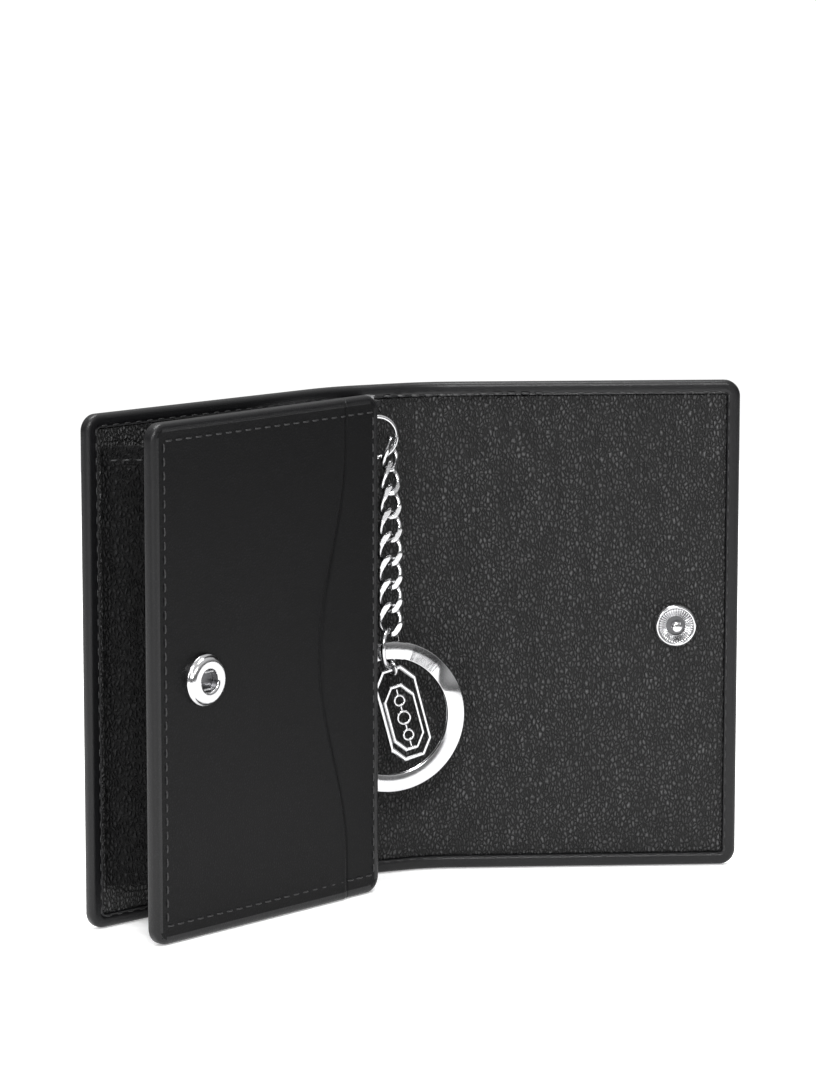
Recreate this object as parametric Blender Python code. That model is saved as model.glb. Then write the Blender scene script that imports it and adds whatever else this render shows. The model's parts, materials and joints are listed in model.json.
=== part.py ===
"""Folding chain wallet: two covers, a hinged spine, a gusseted coin pouch and a key chain.

The wallet stands half open on its bottom edges.  Fold line F1 between the back cover and the
spine passes through (0, 0); the back cover lies in the XZ plane with its outer face towards +Y.
Everything is finally shifted so that the origin is at the bottom centre of the whole object.
"""

import math

import bmesh
import bpy
from mathutils import Matrix, Vector

MM = 0.001

# Driving dimensions, in metres
HEIGHT = 98.0 * MM
COVER_WIDTH = 62.5 * MM
COVER_HALF = 1.3 * MM
SPINE_WIDTH = 20.0 * MM
SPINE_ANGLE = math.radians(20.0)
FOLD_END = 0.7 * MM
CORNER_RADIUS = 3.2 * MM
RIM = 2.6 * MM
GAP = 0.3 * MM
SKIN = 0.9 * MM
BOARD = 0.6 * MM

# Pouch
PANEL_RIGHT = Vector((-1.2 * MM, -13.7 * MM, 0.0))
PANEL_LENGTH = 61.3 * MM
PANEL_SLOPE = math.radians(4.0)
PANEL_HALF = 1.1 * MM
OVERLAY = 0.45 * MM
POCKET_EDGE = 9.9 * MM
POCKET_DIP = 7.7 * MM
POCKET_SPAN = 80.0 * MM
GUSSET_SKIN = 0.8 * MM
GUSSET_TOP = 91.5 * MM
GUSSET_BASE = 7.0 * MM

# Snap fastener
SNAP_Z = 49.0 * MM
SOCKET_ALONG = 48.6 * MM
STUD_ALONG = 50.0 * MM
SOCKET_RADIUS = 5.0 * MM
SOCKET_HEIGHT = 1.7 * MM
SOCKET_BORE = 2.15 * MM
STUD_RADIUS = 4.25 * MM

# Key chain, hanging in the upright plane that CHAIN_YAW gives
SWIVEL_ALONG = 4.80 * MM
SWIVEL_OUT = 7.17 * MM
SWIVEL_Z = 89.05 * MM
STRAP_RISE = 5.9 * MM
CHAIN_YAW = math.radians(-27.0)
TOP_RING = 4.0 * MM
TOP_RING_WIRE = 0.45 * MM
TOP_RING_X = 1.8 * MM
TOP_RING_Z = 88.65 * MM
HANG_ALONG = 4.45 * MM
LINK_TOP_Z = 85.25 * MM
LINKS = 8
LINK_PITCH = 4.66 * MM
LINK_HALF = 3.1 * MM
LINK_TURN = math.radians(45.0)
TURNED_LINKS = 4
LINK_WIDE = 2.0 * MM
LINK_WIRE = 0.62 * MM
LINK_FLAT = 0.9 * MM
JUMP_RADIUS = 3.75 * MM
JUMP_WIRE = 0.5 * MM
JUMP_TURN = math.radians(52.0)
RING_OUTER = 15.0 * MM
RING_INNER = 11.6 * MM
RING_COIL = 0.85 * MM
RING_SPLIT = 0.12 * MM
RING_DROP = 13.9 * MM
BAIL_RADIUS = 1.45 * MM
BAIL_WIRE = 0.35 * MM
BAIL_TURN = math.radians(116.0)
CHARM_LEAN = math.radians(15.0)
CHARM_HALF_WIDTH = 4.4 * MM
CHARM_HALF_LENGTH = 9.5 * MM
CHARM_CHAMFER = 2.3 * MM
CHARM_WALL = 0.8 * MM
CHARM_HALF_THICK = 0.45 * MM

BLACK = (0.022, 0.022, 0.024, 1.0)
GRAIN = (0.035, 0.035, 0.038, 1.0)
BOARD_GREY = (0.35, 0.33, 0.30, 1.0)
SILVER = (0.78, 0.78, 0.80, 1.0)

PIECES = []


def clear_scene():
    for item in list(bpy.data.objects):
        bpy.data.objects.remove(item, do_unlink=True)


def material(name, colour, roughness, metallic):
    mat = bpy.data.materials.new(name)
    mat.use_nodes = True
    shader = mat.node_tree.nodes["Principled BSDF"]
    shader.inputs["Base Color"].default_value = colour
    shader.inputs["Roughness"].default_value = roughness
    shader.inputs["Metallic"].default_value = metallic
    return mat


def add_piece(name, bm, colour, roughness=0.5, metallic=0.0, matrix=None, smooth=False):
    """Turns a bmesh, given in local metres, into a named object placed by its matrix."""
    bmesh.ops.recalc_face_normals(bm, faces=bm.faces)
    mesh = bpy.data.meshes.new(name)
    bm.to_mesh(mesh)
    bm.free()
    if smooth:
        mesh.shade_smooth()
        mesh.set_sharp_from_angle(angle=math.radians(40.0))
    mesh.materials.append(material(name, colour, roughness, metallic))
    piece = bpy.data.objects.new(name, mesh)
    bpy.context.collection.objects.link(piece)
    if matrix is not None:
        piece.matrix_world = matrix
    PIECES.append(piece)
    return piece


def turned(point, angle):
    """A frame at a point, turned about the vertical."""
    return Matrix.Translation(point) @ Matrix.Rotation(angle, 4, "Z")


def block(low, high):
    bm = bmesh.new()
    bmesh.ops.create_cube(bm, size=1.0)
    for vert in bm.verts:
        for axis in range(3):
            middle = 0.5 * (low[axis] + high[axis])
            vert.co[axis] = middle + vert.co[axis] * (high[axis] - low[axis])
    return bm


def round_edges(bm, test, width, segments):
    edges = [edge for edge in bm.edges if test(edge)]
    bmesh.ops.bevel(bm, geom=edges, offset=width, segments=segments, affect="EDGES", profile=0.5)


def sheet(low, high, round_at=(), fold_at=(), radius=CORNER_RADIUS, segments=6):
    """A flat sheet with rounded corners at the given x ends and half-round fold ends."""
    bm = block(low, high)
    tiny = 0.01 * MM

    def corner(edge):
        start, end = (vert.co for vert in edge.verts)
        across = abs(start.y - end.y) > tiny
        return across and any(abs(start.x - x) < tiny for x in round_at)

    def fold(edge):
        start, end = (vert.co for vert in edge.verts)
        upright = abs(start.z - end.z) > tiny
        return upright and any(abs(start.x - x) < tiny for x in fold_at)

    if round_at:
        round_edges(bm, corner, radius, segments)
    if fold_at:
        round_edges(bm, fold, 0.48 * (high[1] - low[1]), 3)
    return bm


def subtract(piece, cutter_bm):
    """Cuts a closed shape, given in the piece's own frame, out of the piece."""
    bmesh.ops.recalc_face_normals(cutter_bm, faces=cutter_bm.faces)
    mesh = bpy.data.meshes.new(piece.name + "_cut")
    cutter_bm.to_mesh(mesh)
    cutter_bm.free()
    cutter = bpy.data.objects.new(piece.name + "_cutter", mesh)
    bpy.context.collection.objects.link(cutter)
    cutter.matrix_world = piece.matrix_world
    cutter.hide_render = True
    cutter.display_type = "WIRE"
    cut = piece.modifiers.new("pocket", "BOOLEAN")
    cut.operation = "DIFFERENCE"
    cut.solver = "EXACT"
    cut.object = cutter


def cover(prefix, x_low, x_high, free_ends, matrix, half=COVER_HALF, inner=-1.0,
          with_board=True):
    """A leather tray with a board and a lining in its pocket, which opens on one side."""
    tiny_out = 1.0 * MM
    fold_ends = [x for x in (x_low, x_high) if x not in free_ends]
    leather = add_piece(
        prefix + "_leather",
        sheet((x_low, -half, 0.0), (x_high, half, HEIGHT), free_ends, fold_ends),
        BLACK, 0.42, matrix=matrix)
    low = x_low + (RIM if x_low in free_ends else 1.5 * MM)
    high = x_high - (RIM if x_high in free_ends else 1.5 * MM)
    ends = [low if x == x_low else high for x in free_ends]
    floor = -inner * (half - SKIN)

    def layer(start, stop, inset):
        y_low, y_high = sorted((start, stop))
        near = (low + inset, y_low, RIM + inset)
        far = (high - inset, y_high, HEIGHT - RIM - inset)
        rounded = [x + inset if x == low else x - inset for x in ends]
        return sheet(near, far, rounded, (), 1.2 * MM, 3)

    subtract(leather, layer(floor, inner * (half + tiny_out), 0.0))
    level = floor + inner * GAP
    if with_board:
        add_piece(prefix + "_board", layer(level, level + inner * BOARD, GAP), BOARD_GREY, 0.9,
                  matrix=matrix)
        level += inner * (BOARD + GAP)
    add_piece(prefix + "_lining", layer(level, inner * half, GAP), GRAIN, 0.5, matrix=matrix)
    return leather


def prism(points, z_low, z_high):
    """Extrudes a plan outline, given as (x, y) pairs, upwards."""
    bm = bmesh.new()
    base = [bm.verts.new((x, y, z_low)) for x, y in points]
    top = [bm.verts.new((x, y, z_high)) for x, y in points]
    bm.faces.new(base[::-1])
    bm.faces.new(top)
    count = len(points)
    for i in range(count):
        j = (i + 1) % count
        bm.faces.new((base[i], base[j], top[j], top[i]))
    return bm


def ribbon(path, thickness):
    """The plan outline of a thin strip that follows a path."""
    left, right = [], []
    for i, point in enumerate(path):
        before = Vector(path[max(i - 1, 0)])
        after = Vector(path[min(i + 1, len(path) - 1)])
        along = (after - before).normalized()
        side = Vector((-along.y, along.x)) * 0.5 * thickness
        here = Vector(point)
        left.append(tuple(here + side))
        right.append(tuple(here - side))
    return left + right[::-1]


def lathe(profile, steps=32):
    """Turns a (radius, height) outline about the local Y axis; it may start and end on the axis."""
    bm = bmesh.new()
    on_axis = profile[0][0] == 0.0
    ends = [bm.verts.new((0.0, profile[0][1], 0.0)), bm.verts.new((0.0, profile[-1][1], 0.0))] \
        if on_axis else []
    body = profile[1:-1] if on_axis else profile
    rings = []
    for i in range(steps):
        angle = 2.0 * math.pi * i / steps
        rings.append([bm.verts.new((r * math.cos(angle), h, r * math.sin(angle))) for r, h in body])
    count = len(body)
    for i in range(steps):
        here, after = rings[i], rings[(i + 1) % steps]
        for j in range(count - 1 if on_axis else count):
            k = (j + 1) % count
            bm.faces.new((here[j], here[k], after[k], after[j]))
        if on_axis:
            bm.faces.new((ends[0], here[0], after[0]))
            bm.faces.new((ends[1], after[-1], here[-1]))
    return bm


def tube(centres, normals, radius, sides=8, flat=None):
    """A closed loop of wire; flat limits its reach along local Y, like a filed face."""
    bm = bmesh.new()
    rings = []
    count = len(centres)
    for i in range(count):
        along = (centres[(i + 1) % count] - centres[i - 1]).normalized()
        side = normals[i].normalized()
        third = along.cross(side)
        ring = []
        for j in range(sides):
            angle = 2.0 * math.pi * (j + 0.5) / sides
            point = centres[i] + radius * (side * math.cos(angle) + third * math.sin(angle))
            if flat is not None:
                point.y = max(-flat, min(flat, point.y))
            ring.append(bm.verts.new(point))
        rings.append(ring)
    for i in range(count):
        here, after = rings[i], rings[(i + 1) % count]
        for j in range(sides):
            k = (j + 1) % sides
            bm.faces.new((here[j], here[k], after[k], after[j]))
    return bm


def wire_ring(radius, wire, steps=28):
    """A round ring of wire in the local XZ plane."""
    centres, normals = [], []
    for i in range(steps):
        angle = 2.0 * math.pi * i / steps
        centres.append(Vector((radius * math.cos(angle), 0.0, radius * math.sin(angle))))
        normals.append(centres[-1].copy())
    return tube(centres, normals, wire)


def curb_link(steps=22):
    """An oval link twisted a quarter turn from end to end, with filed front and back faces."""
    centres, normals = [], []
    for i in range(steps):
        angle = 2.0 * math.pi * i / steps
        rise = LINK_HALF * math.cos(angle)
        reach = LINK_WIDE * math.sin(angle)
        twist = math.radians(45.0) * math.cos(angle)
        across = Vector((math.cos(twist), math.sin(twist), 0.0))
        centres.append(across * reach + Vector((0.0, 0.0, rise)))
        normals.append(across * math.sin(angle) + Vector((0.0, 0.0, math.cos(angle))))
    return tube(centres, normals, LINK_WIRE, 8, LINK_FLAT)


def split_ring():
    """Two turns of flat strip side by side, stepping from one to the other near the top."""
    step_from = math.radians(60.0)
    step_span = math.radians(24.0)
    start = math.radians(78.0)
    turns = 2.0 * math.pi * 2.0 - math.radians(8.0)
    steps = 88
    offset = 0.5 * (RING_COIL + RING_SPLIT)
    bm = bmesh.new()
    rings = []
    for i in range(steps + 1):
        run = turns * i / steps
        half_way = (run - (2.0 * math.pi - step_from)) / step_span
        blend = max(0.0, min(1.0, half_way))
        middle = offset * (2.0 * blend * blend * (3.0 - 2.0 * blend) - 1.0)
        angle = start + run
        ring = []
        for radius, side in ((RING_INNER, -1), (RING_OUTER, -1), (RING_OUTER, 1), (RING_INNER, 1)):
            ring.append(bm.verts.new((radius * math.cos(angle), middle + 0.5 * side * RING_COIL,
                                      radius * math.sin(angle))))
        rings.append(ring)
    for here, after in zip(rings, rings[1:]):
        for j in range(4):
            k = (j + 1) % 4
            bm.faces.new((here[j], here[k], after[k], after[j]))
    bm.faces.new(rings[0][::-1])
    bm.faces.new(rings[-1])
    return bm


# ---------------------------------------------------------------- covers and spine

def build_covers():
    back = Matrix.Identity(4)
    spine = turned(Vector((0.0, 0.0, 0.0)), -SPINE_ANGLE)
    far_fold = spine @ Vector((SPINE_WIDTH, 0.0, 0.0))
    flap = turned(far_fold, -2.0 * SPINE_ANGLE)
    cover("back_cover", -COVER_WIDTH, -FOLD_END, [-COVER_WIDTH], back)
    cover("spine", FOLD_END, SPINE_WIDTH - FOLD_END, [], spine, with_board=False)
    cover("flap", FOLD_END, COVER_WIDTH, [COVER_WIDTH], flap)
    return spine, flap


# ---------------------------------------------------------------- pouch

def pocket_outline(inset):
    """The card pocket's outer skin: straight on three sides, a shallow curve at its mouth."""
    low, high = inset, HEIGHT - inset
    points = [(-PANEL_LENGTH + inset, low)]
    samples = 16
    for i in range(samples + 1):
        z = low + (high - low) * i / samples
        phase = max(-math.pi, min(math.pi, 2.0 * math.pi * (z - 0.5 * HEIGHT) / POCKET_SPAN))
        x = -POCKET_EDGE - 0.5 * POCKET_DIP * (1.0 + math.cos(phase))
        points.append((x, z))
    points.append((-PANEL_LENGTH + inset, high))
    return points


def build_pouch():
    panel = turned(PANEL_RIGHT, PANEL_SLOPE)
    cover("front_panel", -PANEL_LENGTH, 0.0, [-PANEL_LENGTH, 0.0], panel, PANEL_HALF, inner=1.0)

    bm = prism(pocket_outline(0.8 * MM), PANEL_HALF + GAP, PANEL_HALF + GAP + OVERLAY)
    bmesh.ops.rotate(bm, verts=bm.verts, cent=(0, 0, 0), matrix=Matrix.Rotation(math.pi / 2, 3, "X"))
    add_piece("card_pocket_skin", bm, BLACK, 0.4, matrix=panel)

    # the side gusset folds inwards from the back cover and out again to the front panel
    inside = COVER_HALF + GAP + 0.5 * GUSSET_SKIN
    left = -COVER_WIDTH + 5.0 * MM
    front = panel @ Vector((-PANEL_LENGTH + 4.6 * MM, PANEL_HALF + GAP + 0.5 * GUSSET_SKIN, 0))
    middle = 0.5 * (front.y - inside)
    side = [(left + 0.4 * MM, -inside - 0.1 * MM), (left + 5.5 * MM, middle + 1.0 * MM),
            (left + 6.3 * MM, middle), (left + 5.3 * MM, middle - 1.2 * MM),
            (front.x + 0.4 * MM, front.y + 0.3 * MM)]
    add_piece("gusset_side", prism(ribbon(side, GUSSET_SKIN), GUSSET_BASE + 2.0 * MM, GUSSET_TOP),
              GRAIN, 0.55)

    # the pouch floor is a wedge that narrows towards the open side
    start, stop = left + 8.0 * MM, -8.0 * MM
    near = panel @ Vector((-8.0 * MM, PANEL_HALF + GAP, 0.0))
    far_near = panel @ Vector((start - PANEL_RIGHT.x, PANEL_HALF + GAP, 0.0))
    floor = [(start, -COVER_HALF - GAP), (stop, -COVER_HALF - GAP), (stop, near.y - 0.05 * MM),
             (start, far_near.y + 0.3 * MM)]
    add_piece("gusset_bottom", prism(floor, GUSSET_BASE, GUSSET_BASE + GUSSET_SKIN), GRAIN, 0.55)
    return panel


# ---------------------------------------------------------------- snap fastener

def build_snap(panel, flap):
    face = -(PANEL_HALF + GAP + OVERLAY + 0.2 * MM)
    socket = panel @ Matrix.Translation((-SOCKET_ALONG, face, SNAP_Z))
    crown = -SOCKET_HEIGHT
    profile = [(SOCKET_BORE, 0.0), (SOCKET_BORE, 0.75 * crown), (SOCKET_BORE + 0.4 * MM, crown),
               (3.6 * MM, crown), (4.6 * MM, 0.72 * crown), (SOCKET_RADIUS, 0.25 * crown),
               (SOCKET_RADIUS, 0.0)]
    add_piece("snap_socket", lathe(profile), SILVER, 0.15, 1.0, socket, smooth=True)

    # the U-shaped spring runs either side of the bore's middle, just clear of the post
    wire = 0.18 * MM
    rise = 1.65 * MM
    reach = 0.75 * MM
    bend = 1.75 * MM
    loop = []
    for x, z in ((-reach, rise), (reach, rise), (bend, 0.0), (reach, -rise),
                 (-reach, -rise)):
        loop.append((x, z))
    bm = prism(ribbon(loop, 2.0 * wire), 0.55 * SOCKET_HEIGHT, 0.55 * SOCKET_HEIGHT + 2.0 * wire)
    bmesh.ops.rotate(bm, verts=bm.verts, cent=(0, 0, 0), matrix=Matrix.Rotation(math.pi / 2, 3, "X"))
    add_piece("snap_spring", bm, SILVER, 0.25, 1.0, socket)

    stud = flap @ Matrix.Translation((STUD_ALONG, -COVER_HALF - 0.2 * MM, SNAP_Z))
    rim = [(1.95 * MM, 0.0), (1.95 * MM, -0.55 * MM), (3.4 * MM, -0.8 * MM), (4.0 * MM, -0.8 * MM),
           (STUD_RADIUS, -0.4 * MM), (STUD_RADIUS, 0.0)]
    add_piece("snap_stud_rim", lathe(rim), SILVER, 0.2, 1.0, stud, smooth=True)
    post = [(0.0, 0.0), (0.95 * MM, 0.0), (0.95 * MM, -1.2 * MM), (1.1 * MM, -1.6 * MM),
            (1.05 * MM, -2.1 * MM), (0.7 * MM, -2.4 * MM), (0.0, -2.45 * MM)]
    bm = lathe(post, 24)
    add_piece("snap_stud_post", bm, SILVER, 0.2, 1.0, stud, smooth=True)


# ---------------------------------------------------------------- key chain

def build_swivel(spine, hang):
    """A leather strap on the spine holds a small fork that turns about the vertical."""
    strap_low = (SWIVEL_ALONG - 1.9 * MM, -SWIVEL_OUT - 1.7 * MM, SWIVEL_Z + STRAP_RISE)
    strap_high = (SWIVEL_ALONG + 1.9 * MM, -COVER_HALF - GAP, SWIVEL_Z + STRAP_RISE + 1.0 * MM)
    strap = add_piece("chain_strap", block(strap_low, strap_high), BLACK, 0.5, matrix=spine)
    hole = block((-0.85 * MM, -0.85 * MM, -1.0 * MM), (0.85 * MM, 0.85 * MM, 2.0 * MM))
    round_edges(hole, lambda edge: edge.calc_length() > 2.5 * MM, 0.35 * MM, 2)
    bmesh.ops.translate(hole, verts=hole.verts,
                        vec=(SWIVEL_ALONG, -SWIVEL_OUT, SWIVEL_Z + STRAP_RISE))
    subtract(strap, hole)

    ear_in, ear_out = 0.95 * MM, 1.5 * MM
    foot, under, over = -1.6 * MM, STRAP_RISE - 0.9 * MM, STRAP_RISE - GAP
    arch = [(-ear_out, foot), (-ear_in, foot), (-ear_in, under), (ear_in, under),
            (ear_in, foot), (ear_out, foot), (ear_out, over), (-ear_out, over)]
    bm = prism(arch, -1.3 * MM, 1.3 * MM)
    for vert in bm.verts:
        n, z, d = vert.co
        vert.co = (d, n, z)
    add_piece("swivel_fork", bm, SILVER, 0.2, 1.0, hang)

    pin = [(0.0, -0.65 * MM), (1.3 * MM, -0.65 * MM), (1.3 * MM, 0.65 * MM), (0.0, 0.65 * MM)]
    add_piece("swivel_pin", lathe(pin, 20), SILVER, 0.2, 1.0, hang, smooth=True)

    low, head, top = STRAP_RISE - 0.1 * MM, STRAP_RISE + 1.3 * MM, STRAP_RISE + 1.9 * MM
    stem = lathe([(0.0, low), (0.5 * MM, low), (0.5 * MM, head), (1.4 * MM, head),
                  (1.4 * MM, top), (0.0, top)], 20)
    upright = hang @ Matrix.Rotation(math.pi / 2, 4, "X")
    add_piece("swivel_rivet", stem, SILVER, 0.2, 1.0, upright, smooth=True)


def octagon(half_width, half_length, chamfer):
    """The corner points of a long octagon, as (x, z) pairs."""
    points = []
    for x, z in ((1, -1), (1, 1), (-1, 1), (-1, -1)):
        side = (x * half_width, z * (half_length - 1.3 * chamfer))
        end = (x * (half_width - chamfer), z * half_length)
        points += [side, end] if x * z > 0 else [end, side]
    return points


def octagon_frame(half_width, half_length, chamfer, wall, half_thick):
    """A flat openwork frame between two octagons, in the local XZ plane."""
    outer = octagon(half_width, half_length, chamfer)
    inner = octagon(half_width - wall, half_length - wall, chamfer - 0.4 * wall)
    bm = bmesh.new()
    loops = []
    for outline in (outer, inner):
        for y in (-half_thick, half_thick):
            loops.append([bm.verts.new((x, y, z)) for x, z in outline])
    order = (loops[0], loops[1], loops[3], loops[2])
    count = len(outer)
    for here, after in zip(order, order[1:] + order[:1]):
        for i in range(count):
            j = (i + 1) % count
            bm.faces.new((here[i], here[j], after[j], after[i]))
    return bm


def build_key_chain(spine):
    pivot = spine @ Vector((SWIVEL_ALONG, -SWIVEL_OUT, SWIVEL_Z))
    hang = turned(pivot, CHAIN_YAW)
    build_swivel(spine, hang)

    ring_centre = Matrix.Translation((TOP_RING_X, 0.0, TOP_RING_Z - SWIVEL_Z))
    add_piece("strap_ring", wire_ring(TOP_RING, TOP_RING_WIRE), SILVER, 0.15, 1.0,
              hang @ ring_centre, smooth=True)

    for i in range(LINKS):
        height = LINK_TOP_Z - i * LINK_PITCH - SWIVEL_Z
        place = hang @ Matrix.Translation((HANG_ALONG, 0.0, height))
        yaw = LINK_TURN * max(0.0, 1.0 - i / TURNED_LINKS)
        add_piece(f"chain_link_{i + 1}", curb_link(), SILVER, 0.15, 1.0,
                  place @ Matrix.Rotation(yaw, 4, "Z"), smooth=True)

    last = LINK_TOP_Z - (LINKS - 1) * LINK_PITCH
    jump_z = last - LINK_HALF + LINK_WIRE + JUMP_WIRE + 0.13 * MM - JUMP_RADIUS
    jump = hang @ Matrix.Translation((HANG_ALONG, 0.0, jump_z - SWIVEL_Z))
    add_piece("jump_ring", wire_ring(JUMP_RADIUS, JUMP_WIRE), SILVER, 0.15, 1.0,
              jump @ Matrix.Rotation(JUMP_TURN, 4, "Z"), smooth=True)
    add_piece("key_ring", split_ring(), SILVER, 0.15, 1.0,
              jump @ Matrix.Translation((0.0, 0.0, -RING_DROP)))

    knot = jump @ Matrix.Translation((0.0, 0.0, -JUMP_RADIUS)) @ Matrix.Rotation(-CHARM_LEAN, 4, "Y")
    bail_drop = BAIL_RADIUS - BAIL_WIRE - JUMP_WIRE - 0.13 * MM
    bail = knot @ Matrix.Translation((0.0, 0.0, -bail_drop))
    add_piece("charm_bail", wire_ring(BAIL_RADIUS, BAIL_WIRE, 20), SILVER, 0.15, 1.0,
              bail @ Matrix.Rotation(BAIL_TURN, 4, "Z"), smooth=True)
    top = -bail_drop - BAIL_RADIUS + BAIL_WIRE + GAP + CHARM_WALL
    middle = knot @ Matrix.Translation((0.0, 0.0, top - CHARM_HALF_LENGTH))
    add_piece("charm_frame",
              octagon_frame(CHARM_HALF_WIDTH, CHARM_HALF_LENGTH, CHARM_CHAMFER, CHARM_WALL,
                            CHARM_HALF_THICK), SILVER, 0.15, 1.0, middle)
    inner = CHARM_WALL + GAP
    add_piece("charm_inner_frame",
              octagon_frame(CHARM_HALF_WIDTH - inner, CHARM_HALF_LENGTH - inner - 1.6 * MM,
                            CHARM_CHAMFER - 0.3 * MM, 0.7 * MM, 0.7 * CHARM_HALF_THICK),
              SILVER, 0.15, 1.0, middle @ Matrix.Translation((0.0, 0.0, -0.9 * MM)))


def centre_on_ground():
    """Moves every piece so that the whole object's bottom centre is the origin."""
    bpy.context.view_layer.update()
    corners = [piece.matrix_world @ Vector(corner) for piece in PIECES for corner in piece.bound_box]
    shift = Vector([-0.5 * (min(c[i] for c in corners) + max(c[i] for c in corners))
                    for i in range(2)] + [-min(c.z for c in corners)])
    for item in bpy.data.objects:
        item.matrix_world = Matrix.Translation(shift) @ item.matrix_world


def main():
    clear_scene()
    spine, flap = build_covers()
    panel = build_pouch()
    build_snap(panel, flap)
    build_key_chain(spine)
    centre_on_ground()


main()
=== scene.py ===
"""Looks of the folding chain wallet: leather covers, gusseted pouch, snap and key chain.

Lengths are in metres.  The covers and their linings are made flat, as one developed sheet each,
and then wrapped along the wallet's plan curve, so that the folds at the spine are smooth.
"""

import json
import math

import bmesh
import bpy
from mathutils import Matrix, Vector, noise


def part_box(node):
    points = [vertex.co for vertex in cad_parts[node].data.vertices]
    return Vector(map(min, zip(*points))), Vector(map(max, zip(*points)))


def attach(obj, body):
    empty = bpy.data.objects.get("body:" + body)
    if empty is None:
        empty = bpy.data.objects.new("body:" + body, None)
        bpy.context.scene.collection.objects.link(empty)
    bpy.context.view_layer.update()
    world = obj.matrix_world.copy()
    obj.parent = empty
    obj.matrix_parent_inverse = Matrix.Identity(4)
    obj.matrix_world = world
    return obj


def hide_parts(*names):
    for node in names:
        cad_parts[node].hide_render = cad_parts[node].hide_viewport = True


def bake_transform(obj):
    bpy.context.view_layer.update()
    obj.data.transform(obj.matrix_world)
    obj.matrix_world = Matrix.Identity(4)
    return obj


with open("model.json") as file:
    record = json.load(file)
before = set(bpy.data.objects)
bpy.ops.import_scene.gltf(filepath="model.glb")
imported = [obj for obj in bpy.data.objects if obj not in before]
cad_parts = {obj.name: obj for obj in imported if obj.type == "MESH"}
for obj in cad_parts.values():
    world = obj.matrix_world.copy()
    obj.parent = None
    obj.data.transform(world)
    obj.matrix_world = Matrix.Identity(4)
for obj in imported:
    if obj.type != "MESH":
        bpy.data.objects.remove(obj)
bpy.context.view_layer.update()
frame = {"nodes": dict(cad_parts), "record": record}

MM = 0.001
JOINTS = {joint["name"]: joint for joint in frame["record"]["behaviour"]["joints"]}
FOLD_BACK = Vector(JOINTS["spine_fold"]["pos_m"])
FOLD_FLAP = Vector(JOINTS["flap_fold"]["pos_m"])
HANG = Vector(JOINTS["chain_top_swing"]["pos_m"])
RING_CENTRE = Vector(JOINTS["key_ring_slide"]["pos_m"])
KNOT = Vector(JOINTS["charm_swing"]["pos_m"])
CHAIN_NORMAL = Vector(JOINTS["key_ring_slide"]["axis"])

BACK_LOW, BACK_HIGH = (Vector(corner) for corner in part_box("back_cover_leather"))
HEIGHT = BACK_HIGH.z - BACK_LOW.z
HALF = 0.5 * (BACK_HIGH.y - BACK_LOW.y)
WIDTH = FOLD_BACK.x - BACK_LOW.x
SPINE = (FOLD_FLAP - FOLD_BACK).length
SPINE_TURN = math.atan2(FOLD_BACK.y - FOLD_FLAP.y, FOLD_FLAP.x - FOLD_BACK.x)
FOLD_REACH = 5.5 * MM
CORNER = 3.2 * MM
RIM = 2.6 * MM
STITCH_INSET = 2.25 * MM


# ---------------------------------------------------------------- materials

class Nodes:
    """Adds and wires the nodes of one material."""

    def __init__(self, name):
        self.material = bpy.data.materials.new(name)
        self.material.use_nodes = True
        self.tree = self.material.node_tree
        self.shader = self.tree.nodes["Principled BSDF"]

    def add(self, kind, inputs=None, **settings):
        node = self.tree.nodes.new(kind)
        for key, value in settings.items():
            setattr(node, key, value)
        for key, value in (inputs or {}).items():
            if isinstance(value, bpy.types.NodeSocket):
                self.tree.links.new(value, node.inputs[key])
            else:
                node.inputs[key].default_value = value
        return node

    def feed(self, socket, target):
        self.tree.links.new(socket, self.shader.inputs[target])

    def fix(self, **values):
        for key, value in values.items():
            self.shader.inputs[key.replace("_", " ")].default_value = value

    def ramp(self, socket, low, high, low_value=0.0, high_value=1.0):
        node = self.add("ShaderNodeMapRange", {"Value": socket, "From Min": low, "From Max": high,
                                               "To Min": low_value, "To Max": high_value})
        return node.outputs["Result"]

    def maths(self, operation, first, second):
        return self.add("ShaderNodeMath", {0: first, 1: second}, operation=operation).outputs[0]

    def colours(self, socket, dark, light):
        node = self.add("ShaderNodeMix", {0: socket, 6: (*dark, 1.0), 7: (*light, 1.0)},
                        data_type="RGBA")
        return node.outputs[2]


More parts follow.
